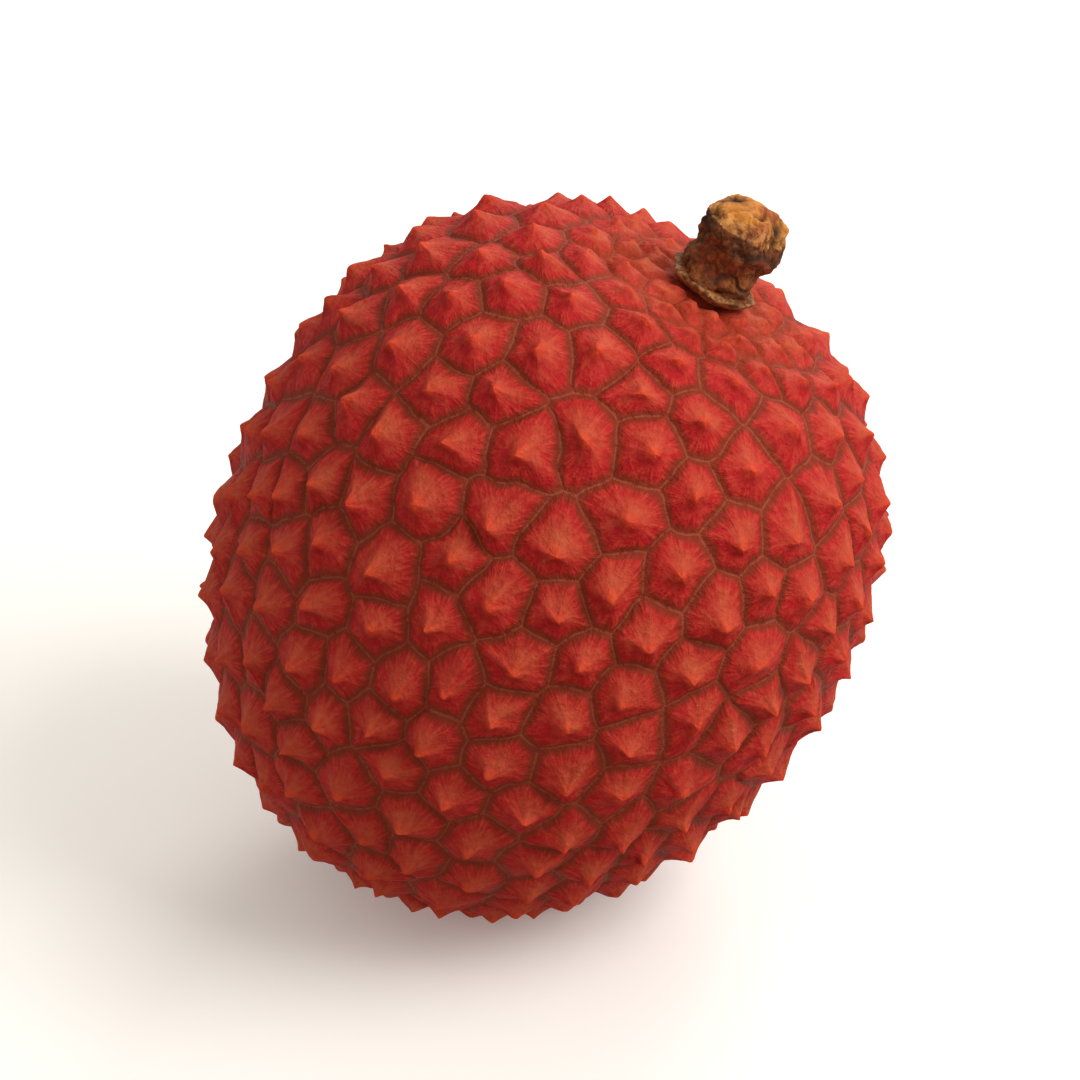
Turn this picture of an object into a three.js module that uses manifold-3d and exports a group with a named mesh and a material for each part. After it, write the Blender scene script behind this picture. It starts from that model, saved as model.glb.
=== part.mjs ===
// A whole lychee resting on a small flat spot, its stalk end leaning to one side.
// Millimetres, +Z up, the ground at z = 0. The fruit, the calyx and the broken stalk are modelled
// upright about their own axis, the stalk end up, and one group then leans all three.
import * as THREE from 'three';
import { mergeVertices } from 'three/addons/utils/BufferGeometryUtils.js';
import { ConvexHull } from 'three/addons/math/ConvexHull.js';
import Module from 'manifold-3d';

// Driving dimensions: the fruit, measured over the tips of its tubercles
const HALF_LENGTH = 19.4;
const RADIUS = 16.5;
const SHOULDER_TAPER = 0.062;    // how much wider the stalk half is than the far half
const FULLNESS = 0.07;           // widens both ends, for square shoulders
const DIP_DEPTH = 1.9;           // the hollow round the stalk
const DIP_RADIUS = 6.5;
const LEAN = THREE.MathUtils.degToRad(28);
const FLAT_SPOT_DEPTH = 1.0;     // how far the lowest tips are pressed flat

// Tubercles
const PITCH = 3.7;               // between neighbouring tips, on the fruit's sides
const STALK_PITCH = 1.8;         // beside the calyx
const CROWDING = 0.33;           // growth of the pitch per mm away from the calyx
const FAR_END_CROWDING = 0.12;   // share by which the pitch shrinks towards the far end
const SIZE_SPREAD = 0.44;        // spread of the pitch from one tubercle to the next
const GROOVE_DEPTH = 1.35;       // tip to groove, on the sides
const SHOULDER_REACH = 0.52;     // where a tubercle's shoulder runs, from tip 0 to groove 1
const SHOULDER_DROP = 0.46;      // how far down the groove's depth that shoulder lies
const TIP_DROOP = 0.1;           // share of the pitch by which a tip leans to the far end
const SEED = 90210;
const MOST_MISSES = 3000;        // tries in a row that fail before the skin counts as full
const CLOSEST = 0.74;            // share of the pitch that a new tip keeps clear
const SPREAD_ROUNDS = 14;
const SPREAD_STEP = 0.12;
const HEIGHT_SPREAD = 0.2;       // spread of the tubercles' heights

// Calyx and stalk, with the seat and the bore that they stand in
const BARE_RADIUS = 2.4;         // half width of the floor without tubercles round the stalk
const SEAT_DEPTH = 0.3;          // below the tips' outline at the stalk's axis
const STALK_SHIFT = 0.25;        // of the stalk's axis from the fruit's, towards +X
const CALYX_OUTER_RADIUS = 2.25;
const CALYX_INNER_RADIUS = 1.3;
const CALYX_THICKNESS = 0.45;
const STALK_HEIGHT = 3.3;        // above its foot
const STALK_PROFILE = [          // radius and share of the height, from foot to broken top
  [1.85, 0], [2.12, 0.12], [2.1, 0.32], [1.96, 0.5], [2.16, 0.68], [2.2, 0.82], [1.9, 0.94],
  [1.2, 0.985], [0, 1],
];
const KNOB_HEIGHT = 0.1;         // bark knobs, as a share of the radius
const PEG_RADIUS = 0.95;
const PEG_DEPTH = 0.6;           // how far the peg reaches into the fruit
const GAP = 0.3;                 // clear space between touching pieces

const axis = new THREE.Vector3(0, 0, 1);

// Random numbers between 0 and 1 from a Lehmer generator, the same on every machine.
let state = SEED;
function random() {
  state = (state * 16807) % 2147483647;
  return state / 2147483647;
}

function randomDirection() {
  const v = new THREE.Vector3();
  do v.set(2 * random() - 1, 2 * random() - 1, 2 * random() - 1);
  while (v.lengthSq() > 1 || v.lengthSq() < 0.01);
  return v.normalize();
}

// The outline over the tips, for a unit direction d: an ovoid, fuller at both ends and wider at
// the stalk end, with a round hollow at the stalk.
function outline(d) {
  const r = RADIUS * (1 + SHOULDER_TAPER * d.z + FULLNESS * d.z * d.z);
  const x = r * d.x;
  const y = r * d.y;
  const across = Math.sqrt(x * x + y * y) / DIP_RADIUS;
  const dip = d.z > 0 ? DIP_DEPTH / (1 + across * across * across * across) : 0;
  return new THREE.Vector3(x, y, HALF_LENGTH * d.z - dip);
}

// The outward normal of the ovoid without its hollow.
function outward(p) {
  return new THREE.Vector3(p.x, p.y, p.z * (RADIUS / HALF_LENGTH) ** 2).normalize();
}

// Distance along the skin from the stalk's axis, for a unit direction: a chord, close to an arc.
function fromStalk(d) {
  return RADIUS * Math.sqrt(2 * (1 - d.z));
}

// The wanted distance between tips.
function pitch(d) {
  const near = STALK_PITCH + CROWDING * Math.max(0, fromStalk(d) - BARE_RADIUS);
  const far = PITCH * (1 - FAR_END_CROWDING * Math.max(0, -1 - 2 * d.z));
  return Math.min(near, far);
}

// Scatters tips over the skin, none closer than its pitch allows. The first one is the flat floor
// under the stalk.
function scatterTips() {
  const tips = [{ d: axis.clone(), p: outline(axis), size: 2 * BARE_RADIUS }];
  let misses = 0;
  while (misses < MOST_MISSES) {
    const d = randomDirection();
    const size = pitch(d) * (1 + SIZE_SPREAD * (random() - 0.5));
    const p = outline(d);
    const free = tips.every((tip) => p.distanceTo(tip.p) > CLOSEST * (size + tip.size) / 2);
    if (free) tips.push({ d, p, size });
    misses = free ? 0 : misses + 1;
  }
  return tips;
}

// Neighbours that are nearer than their pitch push each other apart a few times, which evens the
// tubercles out without lining them up. The floor under the stalk stays.
function spreadTips(tips) {
  for (let round = 0; round < SPREAD_ROUNDS; round += 1) {
    const pushes = tips.map((tip) => {
      const push = new THREE.Vector3();
      for (const other of tips) {
        const away = tip.p.clone().sub(other.p);
        const distance = away.length();
        const wanted = (tip.size + other.size) / 2;
        if (distance > 0 && distance < wanted) {
          push.addScaledVector(away, SPREAD_STEP * (wanted - distance) / distance);
        }
      }
      return push;
    });
    for (let i = 1; i < tips.length; i += 1) {
      const moved = tips[i].d.clone().addScaledVector(pushes[i], 1 / RADIUS).normalize();
      tips[i].d = moved;
      tips[i].p = outline(moved);
    }
  }
  return tips;
}

// The groove corners round each tubercle, in order, as directions. On the sphere of directions the
// middle of the circle through three neighbouring tips is the normal of their hull facet.
function cornersByTip(tips) {
  const directions = tips.map((tip) => tip.d);
  const links = tips.map(() => new Map());
  for (const face of new ConvexHull().setFromPoints(directions).faces) {
    const ids = [0, 1, 2].map((k) => directions.indexOf(face.getEdge(k).head().point));
    ids.forEach((id, k) => {
      links[id].set(ids[(k + 1) % 3], { next: ids[(k + 2) % 3], corner: face.normal });
    });
  }
  return links.map((around) => {
    const corners = [];
    let at = around.keys().next().value;
    while (corners.length < around.size) {
      const { next, corner } = around.get(at);
      corners.push(corner);
      at = next;
    }
    return corners;
  });
}

// A point of the skin in direction d, sunk by a share of the local groove depth.
function skin(d, sunk) {
  const p = outline(d);
  const depth = GROOVE_DEPTH * Math.min(1, pitch(d) / PITCH);
  return p.addScaledVector(outward(p), -sunk * depth);
}

// The fruit's skin: each tubercle is a fan of facets round its tip, with a shoulder between the
// tip and the groove.
function fruitGeometry() {
  const tips = spreadTips(scatterTips());
  const corners = cornersByTip(tips);
  const triangles = [];
  tips.forEach((tip, i) => {
    const height = 1 + HEIGHT_SPREAD * (random() - 0.5);
    const droop = new THREE.Vector3(0, 0, -TIP_DROOP * tip.size / RADIUS);
    const isFloor = i === 0;
    const crown = isFloor ? skin(axis, 1) : skin(tip.d.clone().add(droop).normalize(), 1 - height);
    const groove = corners[i].map((d) => skin(d, 1));
    const shoulder = corners[i].map((d) => {
      const between = tip.d.clone().lerp(d, SHOULDER_REACH).normalize();
      return skin(between, isFloor ? 1 : SHOULDER_DROP);
    });
    groove.forEach((outer, k) => {
      const j = (k + 1) % groove.length;
      triangles.push(outer, groove[j], shoulder[j], outer, shoulder[j], shoulder[k]);
      triangles.push(shoulder[k], shoulder[j], crown);
    });
  });
  return new THREE.BufferGeometry().setFromPoints(triangles);
}

const wasm = await Module();
wasm.setup();

// A closed geometry as a solid that can be cut, and back.
function solidOf(geometry) {
  const bare = new THREE.BufferGeometry();
  bare.setAttribute('position', geometry.getAttribute('position'));
  if (geometry.index) bare.setIndex(geometry.index);
  const merged = mergeVertices(bare, 1e-4);
  return new wasm.Manifold(new wasm.Mesh({
    numProp: 3,
    vertProperties: new Float32Array(merged.getAttribute('position').array),
    triVerts: new Uint32Array(merged.index.array),
  }));
}

function geometryOf(solid) {
  const mesh = solid.getMesh();
  const geometry = new THREE.BufferGeometry();
  geometry.setAttribute('position', new THREE.BufferAttribute(mesh.vertProperties, 3));
  geometry.setIndex(new THREE.BufferAttribute(mesh.triVerts, 1));
  geometry.computeVertexNormals();
  return geometry;
}

// A solid geometry minus others.
function cutBy(geometry, ...cutters) {
  const left = cutters.reduce((solid, cutter) => solid.subtract(solidOf(cutter)), solidOf(geometry));
  return geometryOf(left);
}

// A closed round solid about the fruit's axis, from [radius, height] points.
function turned(points, segments = 32) {
  const profile = points.map(([radius, height]) => new THREE.Vector2(radius, height));
  return new THREE.LatheGeometry(profile, segments).rotateX(Math.PI / 2);
}

function cylinder(radius, low, high) {
  return turned([[0, low], [radius, low], [radius, high], [0, high]]);
}

// Heights along the fruit's axis
const seat = outline(axis).z - SEAT_DEPTH;
const calyxBase = seat + GAP;
const stalkFoot = calyxBase + CALYX_THICKNESS + GAP;
const pegEnd = seat - PEG_DEPTH;
const aboveAll = stalkFoot + STALK_HEIGHT;

// The skin with the calyx's seat and the stalk's bore, pressed flat at the ground.
function fruitBody(ground) {
  const seatCut = cylinder(CALYX_OUTER_RADIUS + GAP, seat, aboveAll);
  const bore = cylinder(PEG_RADIUS + GAP, pegEnd - GAP, aboveAll);
  [seatCut, bore].forEach((cutter) => cutter.translate(STALK_SHIFT, 0, 0));
  const below = 3 * HALF_LENGTH;
  const floor = new THREE.BoxGeometry(below, below, below)
    .translate(0, 0, ground - below / 2)
    .rotateY(-LEAN);
  return cutBy(skinGeometry, seatCut, bore, floor);
}

// The dried calyx: a thin dished washer under the stalk.
function calyxRing() {
  const rim = calyxBase + CALYX_THICKNESS;
  const ring = turned([
    [CALYX_INNER_RADIUS, calyxBase],
    [CALYX_OUTER_RADIUS - 0.25, calyxBase],
    [CALYX_OUTER_RADIUS, calyxBase + 0.6 * CALYX_THICKNESS],
    [CALYX_OUTER_RADIUS - 0.12, rim],
    [CALYX_INNER_RADIUS, rim - 0.1],
    [CALYX_INNER_RADIUS, calyxBase],
  ], 40);
  return ring.translate(STALK_SHIFT, 0, 0);
}

// The broken stalk: a knobbly barrel on a thin peg.
function stalkStub() {
  const barrel = STALK_PROFILE.map(([radius, share]) => [radius, stalkFoot + share * STALK_HEIGHT]);
  const stub = turned([[0, pegEnd], [PEG_RADIUS, pegEnd], [PEG_RADIUS, stalkFoot], ...barrel], 28);
  const place = stub.getAttribute('position');
  for (let i = 0; i < place.count; i += 1) {
    const [x, y, z] = [place.getX(i), place.getY(i), place.getZ(i)];
    const turn = Math.atan2(y, x);
    const share = Math.max(0, (z - stalkFoot) / STALK_HEIGHT);
    const knobs = Math.sin(3 * turn + 9 * share) + 0.8 * Math.sin(5 * turn - 7 * share + 1);
    const swell = 1 + KNOB_HEIGHT * 0.5 * knobs * Math.min(1, 4 * share);
    place.setXY(i, x * swell, y * swell);
  }
  return stub.translate(STALK_SHIFT, 0, 0);
}

// The lowest height that a geometry reaches once it leans.
function lowestLeaning(geometry) {
  const leaning = geometry.clone().rotateY(LEAN);
  leaning.computeBoundingBox();
  return leaning.boundingBox.min.z;
}

function piece(name, geometry, color, roughness) {
  const material = new THREE.MeshStandardMaterial({ color, roughness, metalness: 0 });
  const mesh = new THREE.Mesh(geometry, material);
  mesh.name = name;
  return mesh;
}

const skinGeometry = fruitGeometry();
const ground = lowestLeaning(skinGeometry) + FLAT_SPOT_DEPTH;

const leaning = new THREE.Group();
leaning.rotation.y = LEAN;
leaning.add(
  piece('fruit', fruitBody(ground), '#a8342b', 0.62),
  piece('calyx', calyxRing(), '#8f6a45', 0.8),
  piece('stalk_stub', stalkStub(), '#6f4421', 0.85),
);

// The flat spot rests on the ground, and the box round the whole fruit is centred on the origin.
const lychee = new THREE.Group();
lychee.add(leaning);
const middle = new THREE.Box3().setFromObject(lychee, true).getCenter(new THREE.Vector3());
leaning.position.set(-middle.x, -middle.y, -ground);

export default lychee;
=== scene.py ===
"""A whole lychee: a red skin of pointed tubercles, a dried calyx and a broken stalk stub, standing
on a pale floor in soft light.

The skin grows its tubercles the way the fruit's solid does, so that both have the same ones.
Shapes are worked out in millimetres in the fruit's own frame, with its axis upright. in_row()
leans them, sets them on the floor and turns them into metres.
"""
from functools import cache
from math import pi, radians

import bmesh
import bpy
import numpy as np
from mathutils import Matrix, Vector


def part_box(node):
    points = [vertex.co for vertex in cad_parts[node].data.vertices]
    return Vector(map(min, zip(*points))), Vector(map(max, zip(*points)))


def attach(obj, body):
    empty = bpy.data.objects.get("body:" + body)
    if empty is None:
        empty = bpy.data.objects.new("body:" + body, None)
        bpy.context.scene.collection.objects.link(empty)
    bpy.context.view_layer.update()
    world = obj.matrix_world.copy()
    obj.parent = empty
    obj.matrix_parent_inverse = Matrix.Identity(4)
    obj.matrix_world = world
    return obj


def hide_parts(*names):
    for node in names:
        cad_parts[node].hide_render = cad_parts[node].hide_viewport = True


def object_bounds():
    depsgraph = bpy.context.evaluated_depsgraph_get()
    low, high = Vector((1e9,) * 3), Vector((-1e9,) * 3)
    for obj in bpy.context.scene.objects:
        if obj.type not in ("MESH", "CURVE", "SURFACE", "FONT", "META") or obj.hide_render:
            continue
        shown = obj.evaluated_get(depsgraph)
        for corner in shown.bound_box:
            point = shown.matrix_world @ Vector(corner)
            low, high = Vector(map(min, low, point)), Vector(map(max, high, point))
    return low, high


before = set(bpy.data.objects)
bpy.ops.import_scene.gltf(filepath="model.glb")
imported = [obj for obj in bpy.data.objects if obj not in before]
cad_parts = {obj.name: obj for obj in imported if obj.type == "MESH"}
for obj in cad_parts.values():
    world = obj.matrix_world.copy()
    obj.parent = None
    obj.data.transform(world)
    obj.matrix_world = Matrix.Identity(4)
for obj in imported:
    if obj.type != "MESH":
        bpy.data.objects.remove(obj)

bl_info = {
    "name": "Lychee",
    "version": (1, 0, 0),
    "blender": (4, 5, 0),
    "location": "3D Viewport > Sidebar > Lychee",
    "description": "Builds a lychee's tubercled skin, its calyx, its stalk stub and a small studio",
    "category": "Add Mesh",
}

MM = 0.001
CAD_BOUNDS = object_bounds()


# --------------------------------------------------------------------------------------------
# Settings
# --------------------------------------------------------------------------------------------

def size(name, description, default):
    """A property that holds millimetres, or a plain number such as a share."""
    return bpy.props.FloatProperty(name=name, description=description, default=default)


def whole(name, description, default):
    """A property that holds a whole number."""
    return bpy.props.IntProperty(name=name, description=description, default=default, min=1)


def angle(name, description, degrees):
    """A property that holds an angle."""
    return bpy.props.FloatProperty(
        name=name, description=description, default=radians(degrees), subtype="ANGLE")


def colour(name, description, red, green, blue):
    """A colour property, from the 0 to 255 values that a screen shows it with."""
    screen = np.array([red, green, blue]) / 255
    linear = np.where(screen < 0.04045, screen / 12.92, ((screen + 0.055) / 1.055) ** 2.4)
    return bpy.props.FloatVectorProperty(
        name=name, description=description, default=tuple(linear), subtype="COLOR", size=3,
        min=0, max=1)


class FruitShape(bpy.types.PropertyGroup):
    """The fruit's outline over the tips of its tubercles."""
    half_length: size("Half length", "From the middle to the far end, mm", 19.4)
    radius: size("Radius", "Half the width over the tips, mm", 16.5)
    taper: size("Shoulder taper", "How much wider the stalk half is than the far half", 0.062)
    fullness: size("Fullness", "Widens both ends, for square shoulders", 0.07)
    dip_depth: size("Dip depth", "Depth of the hollow round the stalk, mm", 1.9)
    dip_radius: size("Dip radius", "Half the width of that hollow, mm", 6.5)
    flat_spot: size("Flat spot", "How far the lowest tips are pressed flat, mm", 1.0)
    lean: angle("Lean", "How far the stalk end leans to the side", 28)


class Tubercles(bpy.types.PropertyGroup):
    """How the tubercles are spread and shaped."""
    pitch: size("Pitch", "Distance between neighbouring tips on the sides, mm", 3.7)
    stalk_pitch: size("Pitch at the stalk", "That distance beside the calyx, mm", 1.8)
    crowding: size("Crowding", "Growth of the pitch per mm away from the calyx", 0.33)
    far_crowding: size("Far end crowding", "Share by which the far end's pitch shrinks", 0.12)
    size_spread: size("Size spread", "Spread of the pitch between tubercles", 0.44)
    height_spread: size("Height spread", "Spread of the tubercles' heights", 0.2)
    groove_depth: size("Groove depth", "From a tip down to its groove, mm", 1.35)
    droop: size("Droop", "Share of the pitch by which a tip leans to the far end", 0.1)
    seed: whole("Seed", "Starts the random numbers", 90210)
    most_misses: whole("Most misses", "Failed tries before the skin counts as full", 3000)
    closest: size("Closest", "Share of the pitch that a new tip keeps clear", 0.74)
    spread_rounds: whole("Spread rounds", "How often the tips push each other apart", 14)
    spread_step: size("Spread step", "How far they go each time", 0.12)
    rows: whole("Rows", "Rows of faces from a groove to its tip", 11)
    column: size("Column", "Wanted width of the faces along a groove, mm", 0.54)
    relief: size("Relief", "Depth of the skin's grooves, as a share of the solid's", 0.7)
    shoulder: size("Shoulder", "Share of the height that the round mound holds", 0.46)
    swell: size("Swell", "Power of the mound: the higher, the steeper at the groove", 2.8)
    thorn: size("Thorn", "Power of the slope to the tip: over 1 makes it hollow", 3.5)
    blunt: size("Blunt", "How round the tip is, as a share of the tubercle's half width", 0.055)
    roundness: size("Roundness", "0 for flat facets round the tip, 1 for a round cone", 0.6)
    seam_height: size("Seam height", "Height of the fine line in the groove, mm", 0.06)
    seam_width: size("Seam width", "Half the width of that line, mm", 0.08)
    ridge: size("Ridge", "Height of the ridges that run down from a tip, mm", 0.1)
    wander: size("Wander", "How far the grooves wander from straight, mm", 0.36)
    tip_lean: size("Tip lean", "How far a tip leans to either side at most, mm", 0.16)


class SkinColours(bpy.types.PropertyGroup):
    """The colours of the skin."""
    crimson: colour("Crimson", "Slopes near the grooves", 196, 24, 34)
    # Brick is a tone of the skin, and it is also used as a painted highlight on the stalk side of
    # each tip.
    brick: colour("Brick", "Ridges towards the stalk", 198, 92, 60)
    orange: colour("Orange", "Tips", 224, 74, 40)
    # Deep red is the streaks' own colour, and it is also painted shade in the hollow below each tip.
    deep_red_and_shade: colour("Deep red", "Dark streaks and hollows", 146, 22, 20)
    seam: colour("Seam", "The fine raised line in the groove", 176, 104, 76)
    # The groove's dark brown is partly its own colour and partly painted shade.
    groove: colour("Groove", "The groove beside the line", 126, 50, 26)
    straw: colour("Straw", "Tint round the stalk", 176, 104, 50)


class StalkShape(bpy.types.PropertyGroup):
    """The broken stalk and the calyx under it."""
    height: size("Height", "From its foot to the rim of the broken end, mm", 3.7)
    radius: size("Radius", "Mean half width, mm", 2.08)
    lumps: size("Lumps", "Height of the bark's lumps, mm", 0.3)
    cracks: size("Cracks", "Depth of the cracks between them, mm", 0.2)
    bare_radius: size("Bare radius", "Half width of the skin without tubercles, mm", 2.4)
    calyx_radius: size("Calyx radius", "Half width of the calyx, mm", 2.25)
    seat_depth: size("Seat depth", "Calyx's seat below the outline at the axis, mm", 0.3)
    shift: size("Shift", "Of the stalk's axis from the fruit's, mm", 0.25)


class StalkColours(bpy.types.PropertyGroup):
    """The colours of the stalk and the calyx."""
    gold: colour("Gold", "The broken wood", 218, 140, 56)
    pale: colour("Pale", "Its ragged rim", 222, 166, 100)
    bark: colour("Bark", "Lumps of bark", 150, 82, 34)
    rust: colour("Rust", "Reddish lumps", 160, 72, 30)
    dark: colour("Dark", "Cracks and pits", 48, 26, 12)
    calyx: colour("Calyx", "The dried calyx", 176, 122, 74)


# --------------------------------------------------------------------------------------------
# Numbers and noise
# --------------------------------------------------------------------------------------------

def random_numbers(seed):
    """Random numbers between 0 and 1, each 16807 times the last modulo 2**31 - 1."""
    while True:
        seed = seed * 16807 % 2147483647
        yield seed / 2147483647


def noise(points, seed=0):
    """Smooth noise from -1 to 1: a random number at each corner of a grid of unit cubes, blended
    along each axis with the weight 3t^2 - 2t^3."""
    cell = np.floor(points).astype(np.int64)
    weight = points - cell
    weight = weight * weight * (3 - 2 * weight)
    total = 0
    for corner in np.ndindex(2, 2, 2):
        x, y, z = np.moveaxis(cell + corner, -1, 0)
        mixed = (x * 73856093) ^ (y * 19349663) ^ (z * 83492791) ^ (seed * 2654435761)
        mixed = (mixed ^ (mixed >> 13)) * 1274126177 & 0x7FFFFFFF
        value = (mixed ^ (mixed >> 16)) % 65536 / 32767.5 - 1
        near = np.where(corner, weight, 1 - weight)
        total = total + value * near.prod(-1)
    return total


def layered(points, seed=0, layers=3):
    """Noise with finer noise on it: each layer is half as large and half as high as the last."""
    return sum(noise(points * 2 ** k, seed + k) / 2 ** k for k in range(layers))


def smooth(low, high, value):
    """0 below low, 1 above high, and 3t^2 - 2t^3 between."""
    t = np.clip((value - low) / (high - low), 0, 1)
    return t * t * (3 - 2 * t)


def unit(vectors):
    """Vectors scaled to length 1."""
    return vectors / np.linalg.norm(vectors, axis=-1, keepdims=True)


# --------------------------------------------------------------------------------------------
# The fruit's form
# --------------------------------------------------------------------------------------------

def outline(d, fruit):
    """The surface over the tips, in direction d: an ovoid, wider by the taper towards the stalk
    and by the fullness at both ends, less a hollow whose depth falls with the fourth power of
    the distance from the axis."""
    x, y, z = np.moveaxis(d, -1, 0)
    r = fruit.radius * (1 + fruit.taper * z + fruit.fullness * z * z)
    across = np.sqrt((r * x) ** 2 + (r * y) ** 2) / fruit.dip_radius
    dip = np.where(z > 0, fruit.dip_depth / (1 + across ** 4), 0)
    return np.stack([r * x, r * y, fruit.half_length * z - dip], -1)


def outward(points, fruit):
    """The outward normal of the ovoid without its hollow."""
    stretch = (1, 1, (fruit.radius / fruit.half_length) ** 2)
    return unit(points * stretch)


def wanted_pitch(d, fruit, tubercles):
    """The distance between tips: it grows in step with the distance from the calyx up to the
    pitch of the sides, and shrinks a little again at the far end."""
    z = d[..., 2]
    from_stalk = fruit.radius * np.sqrt(np.maximum(2 * (1 - z), 0))
    calyx = bpy.context.scene.lychee_stalk.bare_radius
    near = tubercles.stalk_pitch + tubercles.crowding * np.maximum(0, from_stalk - calyx)
    far = tubercles.pitch * (1 - tubercles.far_crowding * np.maximum(0, -1 - 2 * z))
    return np.minimum(near, far)


def grow_tips(fruit, tubercles):
    """Directions and pitches of the tips, and the random numbers left over. Tips are thrown at
    the skin and kept where none is nearer than its pitch allows; then neighbours push each other
    apart in a few rounds. The first one is the floor under the stalk and stays."""
    numbers = random_numbers(tubercles.seed)
    calyx = bpy.context.scene.lychee_stalk.bare_radius
    directions = [np.array([0.0, 0.0, 1.0])]
    sizes = [2 * calyx]
    places = outline(directions[0], fruit)[None]
    misses = 0
    while misses < tubercles.most_misses:
        thrown = np.array([2 * next(numbers) - 1 for _ in range(3)])
        if not 0.01 <= thrown @ thrown <= 1:
            continue
        d = unit(thrown)
        spread = 1 + tubercles.size_spread * (next(numbers) - 0.5)
        wanted = wanted_pitch(d, fruit, tubercles) * spread
        place = outline(d, fruit)
        gaps = np.linalg.norm(places - place, axis=1)
        misses += 1
        if (gaps > tubercles.closest * (wanted + np.array(sizes)) / 2).all():
            directions.append(d)
            sizes.append(wanted)
            places = np.vstack([places, place])
            misses = 0
    d, sizes = np.array(directions), np.array(sizes)
    wanted = (sizes[:, None] + sizes) / 2
    for _ in range(tubercles.spread_rounds):
        p = outline(d, fruit)
        away = p[:, None] - p
        gaps = np.linalg.norm(away, axis=-1) + np.eye(len(p)) * 1e6
        push = np.where(gaps < wanted, tubercles.spread_step * (wanted - gaps) / gaps, 0)
        moved = (away * push[..., None]).sum(1) / fruit.radius
        moved[0] = 0
        d = unit(d + moved)
    return d, sizes, numbers


def sectors(tips):
    """The groove network, as one sector for each side of each groove: the tip's number and the
    directions of the groove's two ends, anticlockwise. Grooves meet in the middle of the circle
    through three neighbouring tips, which is the normal of their facet of the tips' hull."""
    hull = bmesh.new()
    for d in tips:
        hull.verts.new(d)
    hull.verts.index_update()
    bmesh.ops.convex_hull(hull, input=hull.verts)
    facets = np.array([[v.index for v in face.verts] for face in hull.faces])
    hull.free()
    a, b, c = np.moveaxis(tips[facets], 1, 0)
    normals = unit(np.cross(b - a, c - a))
    inward = (normals * a).sum(-1) < 0  # hull facets in no fixed order are turned outwards
    facets[inward] = facets[inward][:, ::-1]
    normals[inward] *= -1
    start = facets.ravel()
    end = np.roll(facets, -1, axis=1).ravel()
    left = np.repeat(np.arange(len(facets)), 3)
    order = np.argsort(start * len(tips) + end)
    found = np.searchsorted((start * len(tips) + end)[order], end * len(tips) + start)
    right = left[order[found]]
    # Two ends of a groove too short to see become one, so that no sector is a sliver.
    close = np.linalg.norm(normals[left] - normals[right], axis=1) < 0.004
    normals[np.maximum(left, right)[close]] = normals[np.minimum(left, right)[close]]
    return start, normals[right], normals[left]


@cache
def grown_fruit():
    """Everything that the pieces share: the tips' directions, pitches and heights, the places of
    the crowns, and the move that brings the leaning fruit to its place in the row."""
    fruit, tubercles = bpy.context.scene.lychee_fruit, bpy.context.scene.lychee_tubercles
    tips, sizes, numbers = grow_tips(fruit, tubercles)
    heights = np.array([1 + tubercles.height_spread * (next(numbers) - 0.5) for _ in tips])
    drooping = tips - tubercles.droop * sizes[:, None] / fruit.radius * (0, 0, 1)
    drooping[0] = tips[0]
    drooping = unit(drooping)
    p = outline(drooping, fruit)
    rise = (heights - 1) * groove_depth(drooping, fruit, tubercles)
    crowns = leaning(p + outward(p, fruit) * rise[:, None], fruit)
    low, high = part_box("fruit")
    middle = (crowns.min(0) + crowns.max(0)) / 2
    move = np.array([*((low + high) / 2 / MM).xy, 0]) - (*middle[:2], 0)
    move[2] = -crowns[:, 2].min() - fruit.flat_spot
    return {"tips": tips, "sizes": sizes, "heights": heights, "crowns": drooping, "move": move}


def groove_depth(d, fruit, tubercles):
    """How deep the grooves lie under the outline: less where the tubercles are crowded."""
    crowded = wanted_pitch(d, fruit, tubercles) / tubercles.pitch
    return tubercles.groove_depth * np.minimum(1, crowded)


def leaning(points, fruit):
    """Points turned about +Y by the fruit's lean."""
    c, s = np.cos(fruit.lean), np.sin(fruit.lean)
    return points @ np.array([[c, 0, -s], [0, 1, 0], [s, 0, c]])


def in_row(points, fruit):
    """Points of the upright fruit in the row's frame, in metres, none below the floor."""
    placed = leaning(points, fruit) + grown_fruit()["move"]
    placed[..., 2] = np.maximum(placed[..., 2], 0)
    return placed * MM


# --------------------------------------------------------------------------------------------
# Meshes
# --------------------------------------------------------------------------------------------

def add_piece(name, points, faces, corner_values, material, node):
    """A smooth mesh object from points, faces of three or four corners (-1 for none) and named
    vectors on the faces' corners. Points in one place become one. It replaces a CAD node."""
    keys = np.round(points / (0.002 * MM)).astype(np.int64)
    _, first, same = np.unique(keys, axis=0, return_index=True, return_inverse=True)
    merged = np.where(faces >= 0, same.ravel()[faces], -1)
    used = (merged >= 0) & (merged != np.roll(merged, 1, axis=1))
    kept = used.sum(1) > 2
    faces, merged, used = faces[kept], merged[kept], used[kept]
    mesh = bpy.data.meshes.new(name)
    mesh.from_pydata(points[first], [], [row[keep].tolist() for row, keep in zip(merged, used)])
    mesh.shade_smooth()
    for title, values in corner_values.items():
        layer = mesh.attributes.new(title, "FLOAT_VECTOR", "CORNER")
        layer.data.foreach_set("vector", values[faces[used]].ravel().astype(np.float32))
    mesh.materials.append(material)
    piece = bpy.data.objects.new(name, mesh)
    bpy.context.scene.collection.objects.link(piece)
    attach(piece, "root")
    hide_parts(node)
    return piece


def grid_faces(rows, columns, first=0):
    """Four-cornered faces of a grid of rows x columns points, counted row by row from first."""
    corner = first + (np.arange(rows - 1)[:, None] * columns + np.arange(columns - 1)).ravel()
    return np.stack([corner, corner + 1, corner + columns + 1, corner + columns], -1)


# --------------------------------------------------------------------------------------------
# Skin
# --------------------------------------------------------------------------------------------

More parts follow.
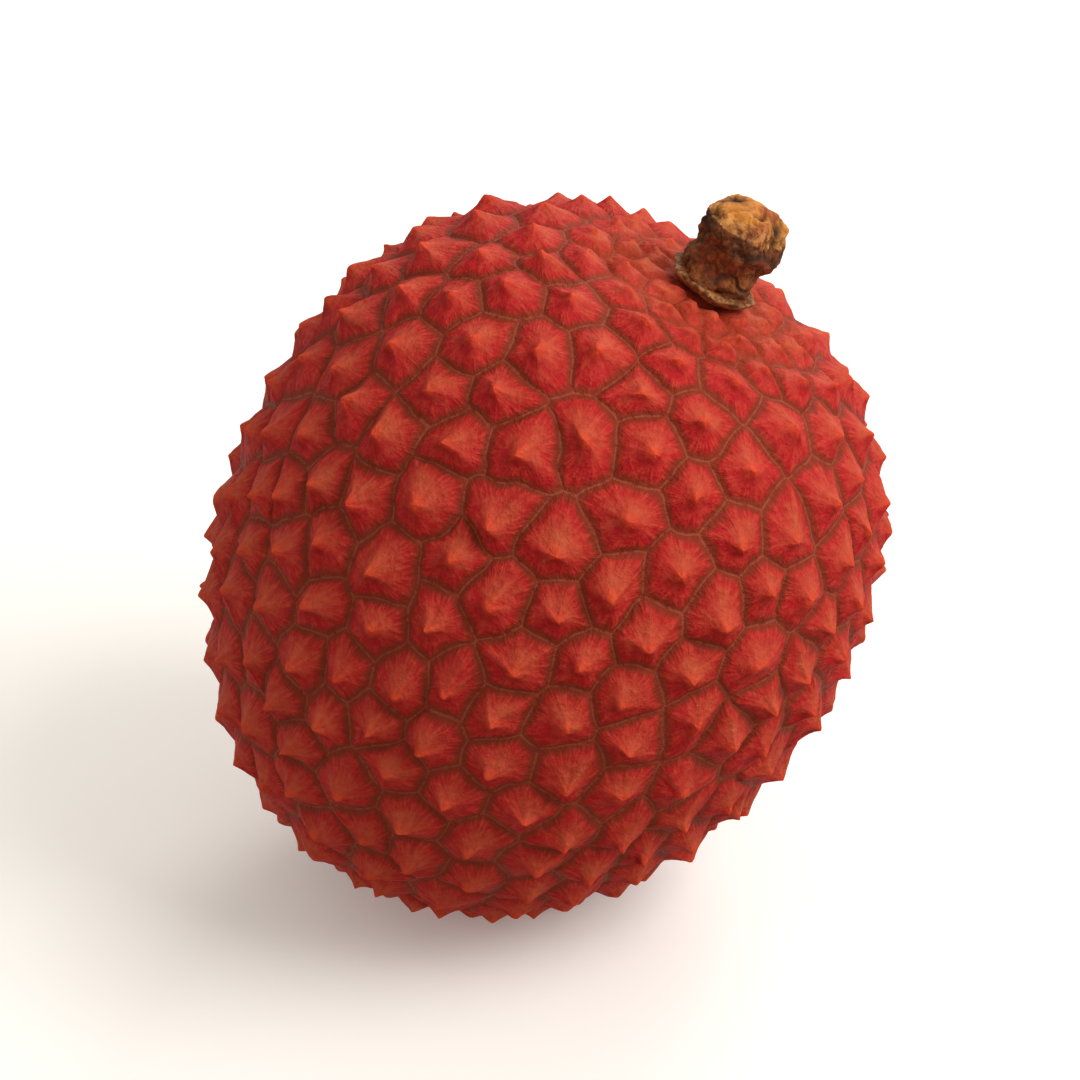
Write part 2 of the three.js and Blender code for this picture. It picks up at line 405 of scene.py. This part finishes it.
def sector_grids(columns, rows, cell, start, end):
    """Directions on a grid over each sector of a tubercle: along the groove from its start to its
    end, and inwards to the tip with the rows closest together at both ends, as a cosine."""
    grown = grown_fruit()
    along = np.linspace(0, 1, columns + 1)[None, :, None]
    edge = unit(start[:, None] * (1 - along) + end[:, None] * along)[:, None]
    inward = (0.5 - 0.5 * np.cos(pi * np.linspace(0, 1, rows + 1)))[None, :, None, None]
    tip = grown["tips"][cell][:, None, None]
    return edge, unit(edge * (1 - inward) + tip * inward), 1 - inward[..., 0]


def skin_relief(d, edge, r, cell, fruit, tubercles):
    """The skin over a grid of directions, and what its material reads. A tubercle is a mound,
    1 - r to the power of its swell, and a thorn, 1 - r to the power of its slope, with r from 0
    at the tip to 1 at the groove. Ridges are a sum of cosines of the angle round the tip. The
    line in the groove is a Gaussian of the distance from it. Noise moves the grooves sideways
    and roughens the skin, most where the tubercles are small."""
    grown = grown_fruit()
    tips, crowns = grown["tips"][cell][:, None, None], grown["crowns"][cell][:, None, None]
    numbers = np.random.default_rng(tubercles.seed).random((len(grown["tips"]), 8))[cell]
    numbers = numbers[:, None, None]
    out = outward(outline(tips, fruit), fruit)
    up = unit(np.array([0, 0, 1.0]) - out * out[..., 2:] + 1e-6)
    side = np.cross(out, up)
    spoke = outline(edge, fruit) - outline(tips, fruit)
    reach = np.linalg.norm(spoke, axis=-1)
    round_up, round_side = (spoke * up).sum(-1) / reach, (spoke * side).sum(-1) / reach
    turn = np.arctan2(round_side, round_up)
    from_groove = (1 - r) * reach
    depth = groove_depth(d, fruit, tubercles)
    small = np.clip(depth / tubercles.groove_depth, 0.3, 1)

    shoulder = tubercles.shoulder + 0.35 * (1 - small)
    rise = 1 - r ** tubercles.swell
    middling = 0.54 * grown["sizes"][cell][:, None, None]
    rounded = r * (1 + tubercles.roundness * (1 - r) * (reach / middling - 1))
    blunt = tubercles.blunt
    cone = np.clip((1 - np.hypot(rounded, blunt)) / (1 - blunt), 0, 1)
    cone = cone ** (tubercles.thorn * (0.85 + 0.3 * numbers[..., 0]))
    ridges = sum(
        np.cos(k * turn + 2 * pi * numbers[..., k - 1]) * weight
        for k, weight in ((2, 0.25), (3, 0.4), (5, 0.4), (7, 0.3)))
    ridges = ridges * 6 * r * (1 - r) ** 1.5 * tubercles.ridge
    seam = tubercles.seam_height * np.exp(-(from_groove / tubercles.seam_width) ** 2)
    height = grown["heights"][cell][:, None, None]
    lifted = depth * height * (shoulder * rise + (1 - shoulder) * cone) + small * (ridges + seam)
    lifted = lifted * tubercles.relief

    lean = (up * (numbers[..., 4:5] - 0.5) + side * (numbers[..., 5:6] - 0.5)) * 2
    moved = crowns - tips + lean * tubercles.tip_lean / fruit.radius
    drooped = unit(d + moved * ((1 - r) ** 2)[..., None])
    p = outline(drooped, fruit)
    n = outward(p, fruit)
    p = p + n * (lifted + (height - 1) * cone * depth * (1 - tubercles.relief)
                 - depth * tubercles.relief)[..., None]
    amount = tubercles.wander * small[..., None]
    wander = np.stack([noise(p / 2, 11 + k) + 0.38 * noise(p / 0.85, 21 + k) for k in range(3)], -1)
    p = p + amount * (wander - n * (wander * n).sum(-1, keepdims=True))
    pebbles = 0.5 * (1 - small) * noise(p / 0.5, 41)
    p = p + n * (0.07 * layered(p / 0.7, 31) + pebbles)[..., None]
    flat = np.broadcast_to
    shape = d.shape[:-1]
    around = np.stack([flat(round_up, shape), flat(round_side, shape), flat(r, shape)], -1)
    groove = np.stack([from_groove, flat(numbers[..., 6], shape), flat(small, shape)], -1)
    return p, around, groove


def under_calyx(p, seat, inner, outer):
    """Presses the skin down to the calyx's seat inside a radius, and less and less outside it."""
    shift = bpy.context.scene.lychee_stalk.shift
    across = np.hypot(p[..., 0] - shift, p[..., 1])
    ceiling = seat + 8 * smooth(inner, outer, across) ** 2
    top = p[..., 2] > 0
    p[..., 2] = np.where(top, np.minimum(p[..., 2], ceiling), p[..., 2])
    return p


def skin_mesh():
    """All sectors of the skin, in groups with the same number of columns."""
    scene = bpy.context.scene
    fruit, tubercles, stalk = scene.lychee_fruit, scene.lychee_tubercles, scene.lychee_stalk
    cell, start, end = sectors(grown_fruit()["tips"])
    lengths = np.linalg.norm(outline(start, fruit) - outline(end, fruit), axis=-1)
    counts = np.clip(np.round(lengths / tubercles.column), 1, 9).astype(int)
    seat = outline(np.array([0, 0, 1.0]), fruit)[2] - stalk.seat_depth
    points, faces, around, groove = [], [], [], []
    total = 0
    for columns in np.unique(counts):
        chosen = counts == columns
        grid = sector_grids(columns, tubercles.rows, cell[chosen], start[chosen], end[chosen])
        edge, d, r = grid
        p, turn, depth = skin_relief(d, edge, r, cell[chosen], fruit, tubercles)
        p = under_calyx(p, seat, stalk.calyx_radius - 0.5, stalk.calyx_radius + 0.9)
        one = grid_faces(tubercles.rows + 1, columns + 1)
        step = (tubercles.rows + 1) * (columns + 1)
        shift = total + np.arange(chosen.sum())[:, None, None] * step
        quads = (one + shift).reshape(-1, len(one), 4)
        quads[:, -columns:, 2] = -1
        faces.append(quads.reshape(-1, 4))
        points.append(p.reshape(-1, 3))
        around.append(turn.reshape(-1, 3))
        groove.append(depth.reshape(-1, 3))
        total += chosen.sum() * step
    stacked = np.concatenate(points)
    values = {"around": np.concatenate(around), "groove": np.concatenate(groove)}
    return in_row(stacked, fruit), np.concatenate(faces), values


# --------------------------------------------------------------------------------------------
# Calyx and stalk
# --------------------------------------------------------------------------------------------

def calyx_mesh():
    """The calyx: a closed section carried round the axis, its rim lobed by a sum of cosines and
    frayed by noise."""
    scene = bpy.context.scene
    fruit, stalk = scene.lychee_fruit, scene.lychee_stalk
    seat = outline(np.array([0, 0, 1.0]), fruit)[2] - stalk.seat_depth
    turn = np.linspace(0, 2 * pi, 181)[:, None]
    section = np.linspace(0, 2 * pi, 25)[None]
    lobes = 1 + 0.02 * np.cos(5 * turn + 0.6) + 0.012 * np.cos(8 * turn + 2)
    rim = 0.5 - 0.5 * np.cos(section)
    inner = 1.2
    across = inner + (stalk.calyx_radius * lobes - inner) * rim
    ring = np.stack([np.cos(turn) * 2.5, np.sin(turn) * 2.5, 0 * turn], -1)
    fray = noise(ring * 1.6, 51) + 0.5 * noise(ring * 4, 52)
    across = across + 0.07 * fray * rim ** 2
    thick = 0.30 * np.sin(section) * (1 - 0.55 * rim ** 2)
    lift = 0.12 * rim ** 3 * (1 + 0.9 * noise(ring * 0.9, 53))
    z = seat + 0.55 + lift + np.where(thick < 0, 1.7, 1.0) * thick + 0.04 * fray
    p = np.stack([across * np.cos(turn), across * np.sin(turn), z], -1)
    faces = grid_faces(*p.shape[:2])
    rim_share = np.stack([rim + 0 * turn, np.sin(section) + 0 * turn, 0 * z], -1)
    p[..., 0] += stalk.shift
    return in_row(p.reshape(-1, 3), fruit), faces, {"rim": rim_share.reshape(-1, 3)}


def stalk_mesh():
    """The stalk: a profile of radius over height carried round the axis. Layered noise pushes out
    lumps of bark, and thin valleys where another noise is near 0 are cracks. The broken end is a
    low dome with a ragged rim and two pits, each a Gaussian of the distance from its middle."""
    scene = bpy.context.scene
    fruit, stalk = scene.lychee_fruit, scene.lychee_stalk
    foot = outline(np.array([0, 0, 1.0]), fruit)[2] - stalk.seat_depth + 0.3
    turn = np.linspace(0, 2 * pi, 241)[:, None]
    side_rows, end_rows = 110, 50
    climb = np.concatenate([np.linspace(0, 1, side_rows), np.ones(end_rows)])[None]
    inward = np.concatenate([np.zeros(side_rows), np.linspace(0, 1, end_rows + 1)[1:]])[None]
    profile = np.interp(
        climb, [0, 0.06, 0.25, 0.42, 0.56, 0.72, 0.86, 0.95, 1],
        [0.9, 0.98, 1.02, 0.97, 0.96, 1.02, 1.05, 1.04, 0.96])
    r = stalk.radius * profile * (1 - inward)
    z = stalk.height * climb
    p = np.stack([r * np.cos(turn), r * np.sin(turn), z + 0 * turn], -1)
    side = np.stack([np.cos(turn), np.sin(turn), 0 * turn], -1)
    on_side = smooth(0.55, 0, inward)
    bark = (1 - smooth(0, 0.12, inward)) * smooth(0, 0.05, climb)
    probe = p * (0.62, 0.62, 0.85)
    lumps = layered(probe, 61) * stalk.lumps
    split = np.abs(noise(p * (0.75, 0.75, 1.15) + 7, 71) + 0.35 * noise(p * 2.3, 72))
    cracks = np.exp(-(split / 0.2) ** 2) * smooth(-0.5, 0.4, noise(p * 0.8, 76))
    pores = np.exp(-(np.abs(noise(p * 2.1, 73)) / 0.2) ** 2)
    fine = layered(p * 3.2, 74) * 0.07
    waist = -0.20 * np.exp(-((climb - 0.47) / 0.1) ** 2) * (0.6 + 0.8 * noise(p * 0.6, 75))
    push = (lumps + waist - stalk.cracks * cracks * bark - 0.1 * pores * bark + fine) * on_side
    p = p + side * (push * (r / stalk.radius) ** 0.5)[..., None]
    flat = p[..., :2].copy()

    def pit(x, y, wide):
        """1 in the middle of a pit in the broken end, falling off as a Gaussian."""
        return np.exp(-((flat - (x, y)) ** 2).sum(-1) / wide ** 2)

    end = smooth(0.93, 1, climb) * np.ones_like(turn)
    ragged = smooth(0.30, 0.04, inward) * noise(side * 3.4, 81)
    dome = 1.0 * np.sqrt(inward * (2 - inward)) + 0.16 * layered(p * 0.9, 82)
    pits = 0.45 * pit(-1.1, 0.2, 0.5) + 0.5 * pit(1.15, -0.7, 0.45) + 0.4 * pit(0.1, -0.95, 0.3)
    grain = 0.07 * np.exp(-(np.abs(noise(p * (1.4, 1.4, 0.4), 83)) / 0.14) ** 2)
    p[..., 2] += end * (0.2 * ragged + dome - pits - grain * smooth(0.02, 0.2, inward))
    p += (stalk.shift, 0, foot)
    band = np.exp(-((climb - 0.8 - 0.05 * noise(side * 1.5, 85)) / 0.09) ** 2) * bark
    hollow = np.maximum(0.8 * cracks * bark, 0.45 * pores * bark)
    hollow = np.maximum(hollow, 0.9 * band * smooth(-0.6, 0.3, noise(p * 1.1, 86)))
    hollow = np.maximum(hollow, end * np.clip(2.0 * pits + 5 * grain * smooth(0, 0.2, inward), 0, 1))
    broken = smooth(0.9, 0.99, climb + 0.05 * noise(side * 2.6, 84) + 0.04 * ragged)
    wood = np.stack([broken * np.ones_like(hollow), hollow, climb * np.ones_like(hollow)], -1)
    rim = np.stack([inward + 0 * turn, lumps / stalk.lumps, 0 * hollow], -1)
    faces = grid_faces(*p.shape[:2])[:, ::-1]
    base = p[:, :1].mean((0, 1), keepdims=True) - (0, 0, 0.3)
    return in_row(closed_foot(p, base), fruit), closed_faces(p, faces), {
        "wood": closed_values(wood), "rim": closed_values(rim)}


def closed_foot(p, middle):
    """A grid's points, and after them the point that closes its first row."""
    return np.vstack([p.reshape(-1, 3), middle.mean((0, 1))[None]])


def closed_faces(p, faces):
    """A grid's faces, and a fan from its first row to the point after its last."""
    turns, rows = p.shape[:2]
    first = np.arange(turns - 1) * rows
    fan = np.stack([first, first + rows, np.full_like(first, turns * rows), first * 0 - 1], -1)
    return np.vstack([faces, fan[:, [1, 0, 2, 3]]])


def closed_values(values):
    """A grid's values, and the first one again for the point that closes it."""
    return np.vstack([values.reshape(-1, 3), values.reshape(-1, 3)[:1]])


# --------------------------------------------------------------------------------------------
# Materials
# --------------------------------------------------------------------------------------------

class Value:
    """A number in a shader tree. Python's operators on it add Math nodes."""

    def __init__(self, finish, socket):
        self.finish, self.socket = finish, socket

    def math(self, operation, *others, clamp=False):
        node = self.finish.add(
            "ShaderNodeMath", {"operation": operation, "use_clamp": clamp},
            dict(enumerate((self, *others))))
        return Value(self.finish, node.outputs[0])

    def __add__(self, other):
        return self.math("ADD", other)

    def __mul__(self, other):
        return self.math("MULTIPLY", other)

    def __sub__(self, other):
        return self.math("SUBTRACT", other)

    def __rsub__(self, other):
        return self.math("MULTIPLY", -1).math("ADD", other)

    __radd__, __rmul__ = __add__, __mul__

    def clamped(self):
        return self.math("ADD", 0, clamp=True)

    def between(self, low, high):
        """0 at low and 1 at high, smoothly; low may be the larger."""
        node = self.finish.add(
            "ShaderNodeMapRange", {"interpolation_type": "SMOOTHSTEP"},
            {"Value": self, "From Min": low, "From Max": high})
        return Value(self.finish, node.outputs[0])


class Finish:
    """A procedural material. add() makes any node from its type, settings and inputs."""

    def __init__(self, name, roughness, specular):
        self.material = bpy.data.materials.new(name)
        self.material.use_nodes = True
        self.tree = self.material.node_tree
        self.shader = self.tree.nodes["Principled BSDF"]
        self.shader.inputs["Roughness"].default_value = roughness
        self.shader.inputs["Specular IOR Level"].default_value = specular

    def add(self, kind, settings=None, inputs=None):
        node = self.tree.nodes.new(kind)
        for key, value in (settings or {}).items():
            setattr(node, key, value)
        for key, value in (inputs or {}).items():
            self.feed(node.inputs[key], value)
        return node

    def feed(self, socket, value):
        """Links a socket to a Value or another socket, or sets it to a number or a colour."""
        source = value.socket if isinstance(value, Value) else value
        if isinstance(source, bpy.types.NodeSocket):
            self.tree.links.new(source, socket)
        else:
            wide = getattr(source, "__len__", None) and len(source) < len(socket.default_value)
            socket.default_value = (*source, 1) if wide else source

    def place(self, per_mm=1):
        """Object coordinates, in millimetres times per_mm."""
        where = self.add("ShaderNodeTexCoord").outputs["Object"]
        return self.scaled(where, (1000 * per_mm,) * 3)

    def scaled(self, vector, factors):
        node = self.add(
            "ShaderNodeVectorMath", {"operation": "MULTIPLY"}, {0: vector, 1: factors})
        return node.outputs[0]

    def attribute(self, name):
        """A vector kept on the mesh, as its three numbers and as a vector."""
        vector = self.add("ShaderNodeAttribute", {"attribute_name": name}).outputs["Vector"]
        parts = self.add("ShaderNodeSeparateXYZ", None, {0: vector}).outputs
        return [Value(self, part) for part in parts] + [vector]

    def noise(self, vector, scale, detail=2.0, roughness=0.5):
        node = self.add(
            "ShaderNodeTexNoise", None,
            {"Vector": vector, "Scale": scale, "Detail": detail, "Roughness": roughness})
        return Value(self, node.outputs["Fac"])

    def mix(self, factor, first, second, blend="MIX"):
        """A colour between first and second."""
        node = self.add(
            "ShaderNodeMix", {"data_type": "RGBA", "blend_type": blend},
            {"Factor": factor, 6: first, 7: second})
        return node.outputs[2]

    def finish(self, colour, bump, distance, roughness=None):
        """Joins a colour, a bump height in units of distance metres, and a roughness."""
        self.feed(self.shader.inputs["Base Color"], colour)
        node = self.add("ShaderNodeBump", None, {"Distance": distance, "Height": bump})
        self.feed(self.shader.inputs["Normal"], node.outputs["Normal"])
        if roughness:
            self.feed(self.shader.inputs["Roughness"], roughness)
        return self.material


def skin_material(tones):
    """Crimson leather: fine streaks down each tubercle, brick ridges that are partly a painted
    highlight on each tip's stalk side, orange tips, painted shade below each tip, and a pale hatched
    line in a groove whose dark brown is partly painted shade."""
    skin = Finish("lychee_skin", 0.6, 0.16)
    up, side, r, _ = skin.attribute("around")
    from_groove, chance, small, _ = skin.attribute("groove")
    crowded = small.between(0.95, 0.45)
    position = skin.place()
    spoke = skin.add(
        "ShaderNodeCombineXYZ", None, {0: up * 9.5, 1: side * 9.5, 2: r * 2.2 + chance * 40})
    streaks = skin.noise(spoke.outputs[0], 1.0, 1.5, 0.6)
    broad = skin.noise(spoke.outputs[0], 0.3, 1.0)
    mottle = skin.noise(position, 0.35, 3.0)
    fine = skin.noise(position, 2.6, 4.0, 0.65)

    on_slope = r.between(0.3, 0.75) * (1 - crowded * 0.75)
    # Painted highlight, partly the keel's own tan: brick leans to the side of each tip that faces
    # the stalk (up), where the main light falls.
    ridge = (1 - r).between(0.1, 0.7) * (up * 0.4 + broad * 1.4 + mottle - 0.8).clamped()
    colour = skin.mix((fine - 0.45).clamped() * 1.5, tones.crimson, tones.brick)
    colour = skin.mix((0.56 - fine).clamped() * 1.6, colour, tones.deep_red_and_shade)
    colour = skin.mix(ridge * (fine + 0.25), colour, tones.brick)
    colour = skin.mix(streaks.between(0.58, 0.36) * on_slope * 0.4, colour, tones.deep_red_and_shade)
    colour = skin.mix(streaks.between(0.52, 0.72) * on_slope * 0.3, colour, tones.brick)
    # Painted shade: deep red on the far side of each tip, away from the stalk and the main light.
    hollow = (0 - up).between(-0.2, 0.8) * r.between(0.02, 0.2) * r.between(0.65, 0.2)
    colour = skin.mix(hollow * 0.6, colour, tones.deep_red_and_shade)
    colour = skin.mix(r.between(0.3, 0.04) * (fine * 1.1 + 0.05), colour, tones.orange)
    hatch = (streaks - 0.5) * 0.35 + (fine - 0.5) * 0.25
    edge = from_groove + hatch
    # Dark band beside the seam: partly the groove's own brown, partly painted shade.
    colour = skin.mix(edge.between(0.52, 0.14) * (0.84 - crowded * 0.45), colour, tones.groove)
    line = (from_groove + (fine - 0.5) * 0.1).between(0.085, 0.03) * fine.between(0.36, 0.52)
    colour = skin.mix(line * (0.38 - crowded * 0.3), colour, tones.seam)
    colour = skin.mix(crowded * mottle * 0.4, colour, tones.straw)

    bump = streaks * on_slope * 0.9 + fine * 2.2
    rough = 0.58 + mottle * 0.2
    return skin.finish(colour, bump, 0.00009, rough)


def stalk_material(tones):
    """Bark with dark cracks and rusty lumps, and golden broken wood on the end."""
    bark = Finish("stalk_bark", 0.75, 0.3)
    broken, hollow, climb, _ = bark.attribute("wood")
    inward, lump, _, _ = bark.attribute("rim")
    position = bark.place()
    coarse = bark.noise(position, 0.7, 3.0)
    fine = bark.noise(position, 3.5, 4.0, 0.65)
    side = bark.mix(coarse.between(0.42, 0.62), tones.bark, tones.rust)
    # Dark mottling on the bark, and darker towards the top of the stalk.
    dark_mottle_and_top = fine.between(0.62, 0.4) * 0.6 + climb.between(0.5, 0.75) * 0.25
    side = bark.mix(dark_mottle_and_top, side, tones.dark)
    end = bark.mix(fine.between(0.4, 0.62), tones.bark, tones.gold)
    end = bark.mix(coarse.between(0.38, 0.55) * 0.7, end, tones.gold)
    end = bark.mix(coarse.between(0.46, 0.34) * 0.8, end, tones.rust)
    end = bark.mix(inward.between(0.22, 0.05) * fine.between(0.4, 0.6) * 0.7, end, tones.pale)
    colour = bark.mix(broken, side, end)
    colour = bark.mix((hollow * 1.2 - fine * 0.3).clamped(), colour, tones.dark)
    colour = bark.mix((lump - 0.35).clamped() * 0.5, colour, tones.bark)
    return bark.finish(colour, fine + coarse * 0.5, 0.00016, 0.62 + fine * 0.25)


def calyx_material(tones):
    """Dried calyx: tan at its frayed rim, dark in its folds."""
    dried = Finish("dried_calyx", 0.8, 0.25)
    rim, _, _, _ = dried.attribute("rim")
    position = dried.place()
    fine = dried.noise(position, 3.2, 4.0, 0.6)
    colour = dried.mix(rim.between(0.95, 0.6), tones.calyx, tones.bark)
    colour = dried.mix(fine.between(0.6, 0.42) * 0.75, colour, tones.dark)
    return dried.finish(colour, fine, 0.00015)


# --------------------------------------------------------------------------------------------
# Stage
# --------------------------------------------------------------------------------------------

class Sky(Finish):
    """The world's nodes, added to as a material's are."""

    def __init__(self, strength):
        self.world = bpy.data.worlds.new("sky")
        self.world.use_nodes = True
        self.tree = self.world.node_tree
        self.shader = self.tree.nodes["Background"]
        self.shader.inputs["Strength"].default_value = strength


class Studio(bpy.types.PropertyGroup):
    """The floor, the lights and the camera."""
    elevation: angle("Elevation", "How high the camera stands", 29)
    lens: size("Lens", "Focal length, mm", 100)
    width: size("View width", "Width of the view at the fruit, mm", 54.3)
    aim_x: size("Aim X", "Where the camera looks, right of the fruit's middle, mm", -0.15)
    aim_y: size("Aim up", "Where the camera looks, above the fruit's middle, mm", 0.4)
    key: size("Key", "Power of the main light, W", 0.78)
    rim: size("Rim", "Power of the light behind, W", 0.3)
    sky: size("Sky", "Strength of the light from above and around", 0.56)
    ground: size("Ground", "Strength of the light from below, as a share of the sky's", 0.42)
    floor: colour("Floor", "The floor", 255, 254, 252)


def area_light(name, place, aim, side, power, tone):
    """A square lamp of the given side, at place and facing aim."""
    lamp = bpy.data.lights.new(name, "AREA")
    lamp.size, lamp.energy, lamp.color = side, power, tone
    stand = bpy.data.objects.new(name, lamp)
    stand.location = place
    stand.rotation_euler = (Vector(aim) - Vector(place)).to_track_quat("-Z", "Y").to_euler()
    bpy.context.scene.collection.objects.link(stand)


def make_stage(studio):
    """A wide round floor, a main light high on the right, a weaker one behind, an even sky, and
    the camera in front, aimed a little off the fruit's middle."""
    scene = bpy.context.scene
    low, high = (Vector(corner) for corner in CAD_BOUNDS)
    middle = (low + high) / 2
    turn = np.linspace(0, 2 * pi, 97)[:-1]
    ring = np.stack([3 * np.cos(turn), 3 * np.sin(turn), 0 * turn], -1)
    mesh = bpy.data.meshes.new("floor")
    mesh.from_pydata(ring, [], [list(range(len(ring)))])
    paint = Finish("floor_paint", 0.8, 0.2)
    duller = [0.97 * c for c in studio.floor]
    tone = paint.mix(paint.noise(paint.place(), 0.02), studio.floor, duller)
    paint.feed(paint.shader.inputs["Base Color"], tone)
    paint.feed(paint.shader.inputs["Emission Color"], tone)
    paint.shader.inputs["Emission Strength"].default_value = 0.16
    mesh.materials.append(paint.material)
    floor = bpy.data.objects.new("floor", mesh)
    scene.collection.objects.link(floor)
    floor.visible_diffuse = False

    area_light("key", middle + Vector((0.22, -0.09, 0.22)), middle, 0.2, studio.key, (1, 0.96, 0.92))
    area_light("rim", middle + Vector((0.10, 0.24, 0.16)), middle, 0.14, studio.rim, (1, 0.95, 0.9))
    sky = Sky(studio.sky)
    direction = sky.add("ShaderNodeTexCoord").outputs["Generated"]
    height = sky.add("ShaderNodeSeparateXYZ", None, {0: direction}).outputs[2]
    above = Value(sky, height).between(-0.7, 0)
    below = [studio.ground * c for c in (1, 0.62, 0.3)]
    sky.feed(sky.shader.inputs["Color"], sky.mix(above, below, (1, 0.95, 0.86)))
    scene.world = sky.world
    scene.view_settings.view_transform = "Standard"

    camera = bpy.data.cameras.new("camera")
    camera.lens, camera.sensor_width = studio.lens, 36
    camera.clip_start = 0.01
    distance = studio.width * MM * studio.lens / camera.sensor_width
    up = Vector((0, np.sin(studio.elevation), np.cos(studio.elevation)))
    back = Vector((0, -np.cos(studio.elevation), np.sin(studio.elevation)))
    aim = middle + Vector((studio.aim_x * MM, 0, 0)) + up * studio.aim_y * MM
    eye = bpy.data.objects.new("camera", camera)
    eye.location = aim + back * distance
    eye.rotation_euler = (-back).to_track_quat("-Z", "Y").to_euler()
    scene.collection.objects.link(eye)
    scene.camera = eye


# --------------------------------------------------------------------------------------------
# Operators, panel and registration
# --------------------------------------------------------------------------------------------

class LYCHEE_OT_skin(bpy.types.Operator):
    """Grow the tubercled skin over the fruit"""
    bl_idname = "lychee.skin"
    bl_label = "Skin"

    def execute(self, context):
        points, faces, values = skin_mesh()
        material = skin_material(context.scene.lychee_skin_colours)
        add_piece("skin", points, faces, values, material, "fruit")
        return {"FINISHED"}


class LYCHEE_OT_calyx(bpy.types.Operator):
    """Lay the dried calyx round the foot of the stalk"""
    bl_idname = "lychee.calyx"
    bl_label = "Calyx"

    def execute(self, context):
        points, faces, values = calyx_mesh()
        material = calyx_material(context.scene.lychee_stalk_colours)
        add_piece("dried_calyx", points, faces, values, material, "calyx")
        return {"FINISHED"}


class LYCHEE_OT_stalk(bpy.types.Operator):
    """Stand the broken stalk on the fruit"""
    bl_idname = "lychee.stalk"
    bl_label = "Stalk"

    def execute(self, context):
        points, faces, values = stalk_mesh()
        material = stalk_material(context.scene.lychee_stalk_colours)
        add_piece("broken_stalk", points, faces, values, material, "stalk_stub")
        return {"FINISHED"}


class LYCHEE_OT_stage(bpy.types.Operator):
    """Set up the floor, the lights and the camera"""
    bl_idname = "lychee.stage"
    bl_label = "Stage"

    def execute(self, context):
        make_stage(context.scene.lychee_studio)
        return {"FINISHED"}


SETTINGS = {
    "lychee_fruit": FruitShape,
    "lychee_tubercles": Tubercles,
    "lychee_skin_colours": SkinColours,
    "lychee_stalk": StalkShape,
    "lychee_stalk_colours": StalkColours,
    "lychee_studio": Studio,
}
OPERATORS = (LYCHEE_OT_skin, LYCHEE_OT_calyx, LYCHEE_OT_stalk, LYCHEE_OT_stage)


class LYCHEE_PT_panel(bpy.types.Panel):
    """Lists the pieces and their settings"""
    bl_idname = "LYCHEE_PT_panel"
    bl_label = "Lychee"
    bl_space_type = "VIEW_3D"
    bl_region_type = "UI"
    bl_category = "Lychee"

    def draw(self, context):
        for operator in OPERATORS:
            self.layout.operator(operator.bl_idname)
        for name, kind in SETTINGS.items():
            box = self.layout.box()
            for entry in kind.__annotations__:
                box.prop(getattr(context.scene, name), entry)


def register():
    for kind in (*SETTINGS.values(), *OPERATORS, LYCHEE_PT_panel):
        bpy.utils.register_class(kind)
    for name, kind in SETTINGS.items():
        setattr(bpy.types.Scene, name, bpy.props.PointerProperty(type=kind))


def unregister():
    for name in SETTINGS:
        delattr(bpy.types.Scene, name)
    for kind in reversed((*SETTINGS.values(), *OPERATORS, LYCHEE_PT_panel)):
        bpy.utils.unregister_class(kind)


def main():
    register()
    bpy.ops.lychee.skin()
    bpy.ops.lychee.calyx()
    bpy.ops.lychee.stalk()
    bpy.ops.lychee.stage()


if __name__ == "__main__":
    main()
